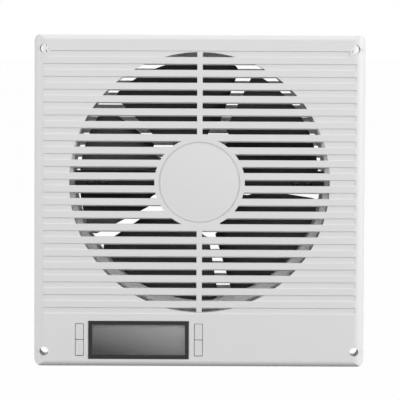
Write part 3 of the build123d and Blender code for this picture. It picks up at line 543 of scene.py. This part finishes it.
class FAN_OT_screws(bpy.types.Operator):
    """Puts cross-recessed screws in place of the plain ones"""

    bl_idname = "fan.screws"
    bl_label = "Screws"

    GROUPS = (
        ("bracket_screws", "front", "housing", "pan_head_bracket_screws"),
        ("cover_screws", "back", "housing", "cover_self_tappers"),
        ("board_screws", "back", "housing", "board_self_tappers"),
        ("motor_screws", "front", "housing", "motor_base_screws"),
        ("front_sleeve_screws", "outward", "housing", "front_sleeve_fixings"),
        ("rear_sleeve_screws", "outward", "rear_section", "rear_sleeve_fixings"),
        ("impeller_screws", "back", "impeller", "impeller_fixings"),
    )

    def execute(self, context):
        sizes, colours = context.scene.fan_sizes, context.scene.fan_colours
        # Zinc plate: bright, faintly clouded steel with fine turning marks.
        zinc = metal(
            "zinc_plated_steel", tuple(colours.zinc), rough=0.3, grain_mm=0.5, grain_height=0.01
        )
        # Black oxide: dark steel with small hard glints, so the bracket's screws don't stand out.
        oxide = metal(
            "black_oxide_steel", tuple(colours.oxide), rough=0.22, grain_mm=0.5, grain_height=0.01
        )
        tree = screw_tree()
        for node, kind, body, name in self.GROUPS:
            places, (head_r, head_t, shank_r, shank_l) = screw_seeds(node, kind)
            seed = seed_points(name, [point for point, _ in places], [axis for _, axis in places])
            turn = seed.attributes.new("turn", "FLOAT", "POINT")
            turn.data.foreach_set("value", [FIRST_TURN + NEXT_TURN * i for i in range(len(places))])
            piece = grown(
                name,
                seed,
                tree,
                {
                    "Head Radius": head_r,
                    "Head Height": head_t,
                    "Shank Radius": shank_r * 0.88,
                    "Shank Length": shank_l,
                    "Recess Width": min(sizes.recess_width, head_r * 0.24),
                    "Recess Depth": min(sizes.recess_depth, head_t * 0.6),
                    "Thread Turns": max(2.0, shank_l / sizes.thread_pitch),
                    "Finish": oxide if node == "bracket_screws" else zinc,
                },
            )
            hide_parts(node)
            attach(piece, body)
        return {"FINISHED"}


def foam_ring(name, node, crown, material):
    """A foam ring that swells a little between its two flat faces."""
    low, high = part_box(node)
    points = [p for group in islands(node) for p in group]
    radii = [math.hypot(p.x, p.z - FAN_Z) for p in points]
    inner, outer = min(radii), max(radii)
    depth = high.y - low.y
    crown = min(crown, (outer - inner) * 0.15, depth * 0.4)
    section = []
    shares = [i / FOAM_STEPS for i in range(FOAM_STEPS + 1)]
    for t in shares:
        section.append((outer - crown + crown * math.sin(math.pi * t), low.y + depth * t))
    for t in shares:
        section.append((inner + crown - crown * math.sin(math.pi * t), high.y - depth * t))
    work = bmesh.new()
    rows = []
    for i in range(FOAM_TURNS):
        a = 2 * math.pi * i / FOAM_TURNS
        rows.append(
            [work.verts.new((r * math.cos(a), y, FAN_Z + r * math.sin(a))) for r, y in section]
        )
    count = len(section)
    for i in range(FOAM_TURNS):
        here, there = rows[i], rows[(i + 1) % FOAM_TURNS]
        for k in range(count):
            work.faces.new((here[k], here[(k + 1) % count], there[(k + 1) % count], there[k]))
    bmesh.ops.recalc_face_normals(work, faces=work.faces)
    mesh = bpy.data.meshes.new(name)
    work.to_mesh(mesh)
    work.free()
    mesh.materials.append(material)
    return plain_object(name, mesh)


class FAN_OT_foam(bpy.types.Operator):
    """Makes the two foam rings behind the panels"""

    bl_idname = "fan.foam"
    bl_label = "Foam rings"

    def execute(self, context):
        sizes, colours = context.scene.fan_sizes, context.scene.fan_colours
        # Closed-cell polyethylene foam: dull, with cells just under a millimetre.
        made, tree, place = new_material("closed_cell_foam")
        cells = add(tree, "ShaderNodeTexVoronoi", {"Vector": place, "Scale": 1 / (0.8 * MM)})
        bump = add(
            tree,
            "ShaderNodeBump",
            {"Height": cells.outputs["Distance"], "Strength": 0.6, "Distance": 0.25 * MM},
        )
        tone = add(
            tree,
            "ShaderNodeHueSaturation",
            {
                "Color": tuple(colours.foam),
                "Value": add(
                    tree,
                    "ShaderNodeMapRange",
                    {"Value": cells.outputs["Distance"], "To Min": 0.8, "To Max": 1.25},
                ).outputs["Result"],
            },
        )
        shader = add(
            tree,
            "ShaderNodeBsdfPrincipled",
            {
                "Base Color": tone.outputs["Color"],
                "Roughness": 0.85,
                "IOR": 1.5,
                "Normal": bump.outputs["Normal"],
            },
        )
        add(tree, "ShaderNodeOutputMaterial", {"Surface": shader.outputs[0]})
        for name, node, body in (
            ("wall_foam_ring", "wall_gasket", "housing"),
            ("rear_foam_ring", "rear_gasket", "rear_section"),
        ):
            piece = foam_ring(name, node, sizes.foam_crown, made)
            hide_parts(node)
            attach(piece, body)
        return {"FINISHED"}


class FAN_OT_panels(bpy.types.Operator):
    """Finishes both panels, the back frame, the duct and the keys"""

    bl_idname = "fan.panels"
    bl_label = "Panels, duct and keys"

    def execute(self, context):
        sizes, colours = context.scene.fan_sizes, context.scene.fan_colours
        soft = sizes.edge_soft
        # Satin moulded ABS: an even white with a fine spark-eroded grain that dulls highlights.
        cover = moulded(
            "satin_moulded_abs", tuple(colours.cover), rough=0.42, grain_mm=0.5, grain_height=0.03,
            variation=0.008, soft=soft,
        )
        finish_nodes(cover, "front_cover", "rear_grille", "duct_collar")
        # The keys come from the same tool finish, a little smoother where fingers rub them.
        keys = moulded(
            "key_abs", tuple(colours.keys), rough=0.36, grain_mm=0.5, grain_height=0.02,
            variation=0.008, soft=soft,
        )
        finish_nodes(keys, *(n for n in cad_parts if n.startswith("button_")))
        # The back frame has a coarser grain, since it faces the wall.
        back = moulded(
            "grained_abs", tuple(colours.cover), rough=0.55, grain_mm=0.8, grain_height=0.08,
            variation=0.012,
        )
        finish_nodes(back, "back_frame")
        # Extruded polypropylene: smoother and slightly waxy.
        duct = moulded(
            "extruded_polypropylene", tuple(colours.duct), rough=0.33, grain_mm=1.5, grain_height=0.03,
            variation=0.01, ior=1.49,
        )
        finish_nodes(duct, "front_sleeve", "rear_sleeve")
        return {"FINISHED"}


class FAN_OT_display(bpy.types.Operator):
    """Finishes the display window, its glass and the control board"""

    bl_idname = "fan.display"
    bl_label = "Display and board"

    def execute(self, context):
        colours = context.scene.fan_colours
        # Black ABS from a polished mould, a little dulled by handling: a soft sheen over black.
        bezel = moulded(
            "polished_black_abs", tuple(colours.bezel), rough=0.3, grain_mm=2.0, grain_height=0.01,
            variation=0.05,
        )
        finish_nodes(bezel, "display_bezel")
        # Tinted acrylic sheet: clear, glossy and faintly grey.
        lens, tree, _ = new_material("tinted_acrylic")
        clear = add(
            tree,
            "ShaderNodeBsdfPrincipled",
            {
                "Base Color": tuple(colours.lens),
                "Roughness": 0.03,
                "IOR": 1.49,
                "Transmission Weight": 1.0,
            },
        )
        open_way = add(tree, "ShaderNodeBsdfTransparent", {"Color": tuple(colours.lens)})
        ray = add(tree, "ShaderNodeLightPath")
        mixed = add(
            tree,
            "ShaderNodeMixShader",
            {0: ray.outputs["Is Shadow Ray"], 1: clear.outputs[0], 2: open_way.outputs[0]},
        )
        add(tree, "ShaderNodeOutputMaterial", {"Surface": mixed.outputs[0]})
        finish_nodes(lens, "display_lens")
        # Liquid crystal glass that is switched off: its own grey, with a painted reflection that makes it
        # lighter towards the upper right corner.
        low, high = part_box("display_module")
        screen, tree, place = new_material("liquid_crystal_glass")
        apart = add(tree, "ShaderNodeSeparateXYZ", {"Vector": place})
        across = add(
            tree,
            "ShaderNodeMapRange",
            {"Value": apart.outputs["X"], "From Min": low.x, "From Max": high.x, "To Max": 0.45},
        )
        up = add(
            tree,
            "ShaderNodeMapRange",
            {"Value": apart.outputs["Z"], "From Min": low.z, "From Max": high.z, "To Max": 0.55},
        )
        both = add(tree, "ShaderNodeMath", {0: across.outputs[0], 1: up.outputs[0]}, operation="ADD")
        # Painted reflection: the ramp runs across the glass from the dark end at the lower left to the light
        # end at the upper right.
        ramp = add(tree, "ShaderNodeValToRGB", {"Fac": both.outputs[0]})
        ends = ramp.color_ramp.elements
        ends[0].position, ends[0].color = 0.12, tuple(colours.painted_reflection_dark_end)
        ends[1].position, ends[1].color = 1.0, tuple(colours.painted_reflection_light_end)
        shader = add(
            tree,
            "ShaderNodeBsdfPrincipled",
            {"Base Color": ramp.outputs["Color"], "Roughness": 0.55, "IOR": 1.52},
        )
        add(tree, "ShaderNodeOutputMaterial", {"Surface": shader.outputs[0]})
        finish_nodes(screen, "display_module")
        # Glass-epoxy board under green solder mask, with faint copper runs.
        board, tree, place = new_material("green_solder_mask")
        runs = add(
            tree,
            "ShaderNodeTexBrick",
            {
                "Vector": add(
                    tree, "ShaderNodeMapping", {"Vector": place, "Rotation": (math.pi / 2, 0, 0)}
                ).outputs[0],
                "Color1": tuple(colours.board),
                "Color2": linear("#1B5236"),
                "Mortar": linear("#0D2F1F"),
                "Scale": 1 / (10 * MM),
                "Mortar Size": 0.03,
            },
        )
        shader = add(
            tree,
            "ShaderNodeBsdfPrincipled",
            {"Base Color": runs.outputs["Color"], "Roughness": 0.3, "IOR": 1.55},
        )
        add(tree, "ShaderNodeOutputMaterial", {"Surface": shader.outputs[0]})
        finish_nodes(board, "control_board", "motor_board")
        # Moulded epoxy of chips and switches: matt black.
        chips = moulded(
            "moulded_epoxy", linear("#1A1B1C"), rough=0.55, grain_mm=0.4, grain_height=0.02,
            variation=0.1,
        )
        plungers = [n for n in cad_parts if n.startswith("plunger_")]
        finish_nodes(chips, "board_components", "tact_switches", "power_inlet", *plungers)
        return {"FINISHED"}


class FAN_OT_motor(bpy.types.Operator):
    """Finishes the bracket, the motor, its leads and the bearings"""

    bl_idname = "fan.motor"
    bl_label = "Bracket and motor"

    def execute(self, context):
        colours = context.scene.fan_colours
        # Black powder coat: a slight orange peel over pressed steel.
        coat = moulded(
            "black_powder_coat", tuple(colours.bracket), rough=0.38, grain_mm=1.2, grain_height=0.05,
            variation=0.1, ior=1.5, soft=0.3 * MM,
        )
        finish_nodes(coat, "motor_bracket")
        # Die-cast aluminium: dull silver with a faint chill pattern.
        cast = metal(
            "die_cast_aluminium", linear("#B4B6B8"), rough=0.45, grain_mm=2.0, grain_height=0.05
        )
        finish_nodes(cast, "motor_base")
        # Ground bearing steel: near mirror, with fine marks round it.
        ground = metal(
            "ground_bearing_steel", linear("#C6C7C9"), rough=0.16, grain_mm=0.4, grain_height=0.005,
            stretch=(1, 20, 1),
        )
        finish_nodes(ground, "front_bearing", "rear_bearing", "motor_shaft", "shaft_clip")
        # Pressed steel sheets: laminated core and drawn cup, grey and slightly oily.
        sheets = metal(
            "pressed_electrical_steel", linear("#7E8083"), rough=0.38, grain_mm=3.0, grain_height=0.1,
            stretch=(0.1, 12, 0.1),
        )
        finish_nodes(sheets, "stator_core", "rotor_cup")
        # Bonded ferrite: dark, matt and grainy.
        ferrite = moulded(
            "bonded_ferrite", linear("#2C2C2E"), rough=0.6, grain_mm=0.6, grain_height=0.04,
            variation=0.15,
        )
        finish_nodes(ferrite, "rotor_magnet")
        # Soft vinyl sheath of the leads: black with a dull shine.
        sheath = moulded(
            "vinyl_sheath", linear("#141516"), rough=0.42, grain_mm=1.0, grain_height=0.03,
            variation=0.1,
        )
        finish_nodes(sheath, "motor_lead", "power_lead")
        return {"FINISHED"}


def coil_tree():
    """Wire wound in layers round each tooth, on seed points that face outwards."""
    tree, entry = new_tree(
        "wound_coils",
        [
            ("Wire Diameter", "NodeSocketFloat", 0.8 * MM),
            ("Half Width", "NodeSocketFloat", 4.0 * MM),
            ("Half Length", "NodeSocketFloat", 9.0 * MM),
            ("Height", "NodeSocketFloat", 4.3 * MM),
            ("Turns", "NodeSocketFloat", 5.0),
            ("Finish", "NodeSocketMaterial", None),
        ],
    )

    apart = add(
        tree,
        "ShaderNodeSeparateXYZ",
        {0: add(tree, "GeometryNodeInputPosition").outputs[0]},
    ).outputs
    layers = []
    for layer in range(COIL_LAYERS):
        known = {name: apart[axis] for axis, name in enumerate("xyz")}
        for label in ("Wire Diameter", "Half Width", "Half Length", "Height"):
            known[label] = entry[label]
        # A round spiral of radius 1 is squared off and then stretched to the layer's two sides.
        for name, operation, *values in (
            ("span", "SUBTRACT", "Height", "Wire Diameter"),
            ("half span", "MULTIPLY", "span", 0.5),
            ("wire radius", "MULTIPLY", "Wire Diameter", 0.47),
            ("inset", "MULTIPLY", "Wire Diameter", 0.55 + layer),
            ("half across", "SUBTRACT", "Half Width", "inset"),
            ("half along", "SUBTRACT", "Half Length", "inset"),
            ("x size", "ABSOLUTE", "x"),
            ("y size", "ABSOLUTE", "y"),
            ("x fourth", "POWER", "x size", 4.0),
            ("y fourth", "POWER", "y size", 4.0),
            ("sum", "ADD", "x fourth", "y fourth"),
            ("stretch", "POWER", "sum", -0.25),
            ("x square", "MULTIPLY", "x", "stretch"),
            ("y square", "MULTIPLY", "y", "stretch"),
            ("x place", "MULTIPLY", "x square", "half across"),
            ("y place", "MULTIPLY", "y square", "half along"),
            ("z place", "SUBTRACT", "z", "half span"),
        ):
            inputs = {place: known.get(value, value) for place, value in enumerate(values)}
            known[name] = add(tree, "ShaderNodeMath", inputs, operation=operation).outputs[0]
        spiral = add(
            tree,
            "GeometryNodeCurveSpiral",
            {
                "Resolution": 24,
                "Rotations": entry["Turns"],
                "Start Radius": 1.0,
                "End Radius": 1.0,
                "Height": known["span"],
                "Reverse": bool(layer),
            },
        ).outputs[0]
        place = add(
            tree,
            "ShaderNodeCombineXYZ",
            {"X": known["x place"], "Y": known["y place"], "Z": known["z place"]},
        ).outputs[0]
        squared = add(
            tree, "GeometryNodeSetPosition", {"Geometry": spiral, "Position": place}
        ).outputs[0]
        round_wire = add(
            tree,
            "GeometryNodeCurvePrimitiveCircle",
            {"Resolution": 8, "Radius": known["wire radius"]},
        ).outputs["Curve"]
        layers.append(
            add(
                tree,
                "GeometryNodeCurveToMesh",
                {"Curve": squared, "Profile Curve": round_wire, "Fill Caps": True},
            ).outputs[0]
        )
    coil = add(tree, "GeometryNodeJoinGeometry", {"Geometry": layers}).outputs[0]
    upright = add(
        tree,
        "FunctionNodeAlignRotationToVector",
        {"Rotation": facing_rotation(tree), "Vector": (0.0, 1.0, 0.0)},
        axis="Y",
        pivot_axis="Z",
    ).outputs[0]
    copies_on_seeds(tree, entry, coil, upright)
    return tree


class FAN_OT_coils(bpy.types.Operator):
    """Winds a coil of wire round each of the motor's teeth"""

    bl_idname = "fan.coils"
    bl_label = "Motor coils"

    def execute(self, context):
        sizes, colours = context.scene.fan_sizes, context.scene.fan_colours
        # Enamelled copper: clear amber lacquer over bright wire.
        copper = metal(
            "enamelled_copper", tuple(colours.copper), rough=0.28, grain_mm=0.6, grain_height=0.06
        )
        places, facings = [], []
        for group in islands("motor_windings"):
            middle = sum(group, Vector()) / len(group)
            out = Vector((middle.x, 0, middle.z - FAN_Z)).normalized()
            across = Vector((-out.z, 0, out.x))
            reach = [Vector((p.x, 0, p.z - FAN_Z)).dot(out) for p in group]
            depth = [p.y for p in group]
            half_width = max(abs(Vector((p.x, 0, p.z - FAN_Z)).dot(across)) for p in group)
            centre = out * (max(reach) + min(reach)) / 2
            places.append((centre.x, (max(depth) + min(depth)) / 2, FAN_Z + centre.z))
            facings.append(out)
            half_length = (max(depth) - min(depth)) / 2
            height = max(reach) - min(reach)
        seed = seed_points("wound_coils", places, facings)
        piece = grown(
            "wound_coils",
            seed,
            coil_tree(),
            {
                "Wire Diameter": sizes.wire,
                "Half Width": half_width,
                "Half Length": half_length,
                "Height": height,
                "Turns": math.floor(height / sizes.wire) - 0.2,
                "Finish": copper,
            },
        )
        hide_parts("motor_windings")
        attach(piece, "housing")
        return {"FINISHED"}


class FAN_OT_impeller(bpy.types.Operator):
    """Finishes the five-blade impeller"""

    bl_idname = "fan.impeller"
    bl_label = "Impeller"

    def execute(self, context):
        colours = context.scene.fan_colours
        # Glossy black ABS: dark body with clean soft reflections along each blade.
        blades = moulded(
            "glossy_black_abs", tuple(colours.blades), rough=0.24, grain_mm=2.5, grain_height=0.02,
            variation=0.1,
        )
        finish_nodes(blades, "impeller")
        return {"FINISHED"}


def floor_sheet(half):
    """A flat floor under the fan, open on every side so that all views see the fan."""
    corners = [(x, y, FLOOR_Z) for x, y in ((-half, -half), (half, -half), (half, half), (-half, half))]
    mesh = bpy.data.meshes.new("studio_floor")
    mesh.from_pydata(corners, [], [(0, 1, 2, 3)])
    return plain_object("studio_floor", mesh)


def area_light(name, place, size, power):
    """A soft rectangular light that looks at the middle of the panel."""
    lamp = bpy.data.lights.new(name, "AREA")
    lamp.shape, lamp.size, lamp.size_y, lamp.energy = "RECTANGLE", size[0], size[1], power
    made = bpy.data.objects.new(name, lamp)
    made.location = place
    made.rotation_euler = (Vector((0, 0, 0)) - Vector(place)).to_track_quat("-Z", "Y").to_euler()
    bpy.context.scene.collection.objects.link(made)
    return made


def backdrop_white(tree, shader, share):
    """Shows a surface nearly white to the camera and in gloss and glass, with its shadows kept."""
    ray = add(tree, "ShaderNodeLightPath")
    seen = ray.outputs["Is Camera Ray"]
    for other in ("Is Glossy Ray", "Is Transmission Ray"):
        seen = add(
            tree, "ShaderNodeMath", {0: seen, 1: ray.outputs[other]}, operation="MAXIMUM"
        ).outputs[0]
    amount = add(tree, "ShaderNodeMath", {0: seen, 1: share}, operation="MULTIPLY").outputs[0]
    white = add(tree, "ShaderNodeEmission", {"Color": linear("#FFFFFF"), "Strength": 1.0})
    return add(tree, "ShaderNodeMixShader", {0: amount, 1: shader, 2: white.outputs[0]}).outputs[0]


class FAN_OT_stage(bpy.types.Operator):
    """Makes the floor, the lights and the camera"""

    bl_idname = "fan.stage"
    bl_label = "Studio"

    def execute(self, context):
        scene, studio = context.scene, context.scene.fan_studio
        scene.view_settings.view_transform = "Standard"
        floor = floor_sheet(FLOOR_HALF)
        # Matt paper: pale, shown white, with the shadow of the fan left in.
        paper, tree, place = new_material("matt_paper")
        fibre = add(tree, "ShaderNodeTexNoise", {"Vector": place, "Scale": 1 / (2 * MM)})
        bump = add(
            tree, "ShaderNodeBump", {"Height": fibre.outputs["Fac"], "Distance": 0.05 * MM, "Strength": 0.2}
        )
        matt = add(
            tree,
            "ShaderNodeBsdfDiffuse",
            {"Color": linear("#8C8C8C"), "Normal": bump.outputs["Normal"]},
        )
        add(tree, "ShaderNodeOutputMaterial", {"Surface": backdrop_white(tree, matt.outputs[0], PAPER_WHITE)})
        floor.data.materials.append(paper)

        world = bpy.data.worlds.new("studio")
        scene.world = world
        world.use_nodes = True
        tree = world.node_tree
        tree.nodes.clear()
        ray = add(tree, "ShaderNodeLightPath").outputs["Is Camera Ray"]
        dim = add(
            tree, "ShaderNodeBackground", {"Color": linear("#FFFFFF"), "Strength": studio.ambient}
        )
        white = add(tree, "ShaderNodeBackground", {"Color": linear("#FFFFFF"), "Strength": 1.0})
        mixed = add(tree, "ShaderNodeMixShader", {0: ray, 1: dim.outputs[0], 2: white.outputs[0]})
        add(tree, "ShaderNodeOutputWorld", {"Surface": mixed.outputs[0]})

        for name, place, size, power in LAMPS:
            area_light(name, place, size, getattr(studio, power))

        front = CAD_BOX[0][1]
        eye = Vector((-studio.side, front - studio.distance, studio.height))
        target = Vector((studio.aim_side, front, studio.aim_height))
        lens = bpy.data.cameras.new("camera")
        lens.lens, lens.sensor_width = studio.lens, SENSOR_WIDTH
        lens.clip_start, lens.clip_end = 0.1, 50.0
        camera = bpy.data.objects.new("camera", lens)
        turn = (target - eye).to_track_quat("-Z", "Y").to_matrix().to_4x4()
        camera.matrix_world = Matrix.Translation(eye) @ turn @ Matrix.Rotation(studio.roll, 4, "Z")
        scene.collection.objects.link(camera)
        scene.camera = camera
        return {"FINISHED"}


class FAN_PT_panel(bpy.types.Panel):
    """The fan's operators and settings in the sidebar"""

    bl_idname = "FAN_PT_panel"
    bl_label = "Room to room fan"
    bl_space_type = "VIEW_3D"
    bl_region_type = "UI"
    bl_category = "Fan"

    def draw(self, context):
        layout, scene = self.layout, context.scene
        for each in OPERATORS:
            layout.operator(each.bl_idname)
        for group in (scene.fan_sizes, scene.fan_colours, scene.fan_studio):
            box = layout.box()
            for key in group.__annotations__:
                box.prop(group, key)


OPERATORS = (
    FAN_OT_stage,
    FAN_OT_panels,
    FAN_OT_display,
    FAN_OT_motor,
    FAN_OT_coils,
    FAN_OT_impeller,
    FAN_OT_screws,
    FAN_OT_foam,
)
SETTINGS = {"fan_sizes": FanSizes, "fan_colours": FanColours, "fan_studio": StudioSettings}


def register():
    """Adds the classes, and the settings to the scene."""
    for each in (*SETTINGS.values(), *OPERATORS, FAN_PT_panel):
        bpy.utils.register_class(each)
    for key, group in SETTINGS.items():
        setattr(bpy.types.Scene, key, PointerProperty(type=group))


def unregister():
    """Takes the settings and the classes away again."""
    for key in SETTINGS:
        delattr(bpy.types.Scene, key)
    for each in reversed((*SETTINGS.values(), *OPERATORS, FAN_PT_panel)):
        bpy.utils.unregister_class(each)


def main():
    """Makes every piece in order."""
    register()
    for each in OPERATORS:
        group, name = each.bl_idname.split(".")
        getattr(getattr(bpy.ops, group), name)()


if __name__ == "__main__":
    main()
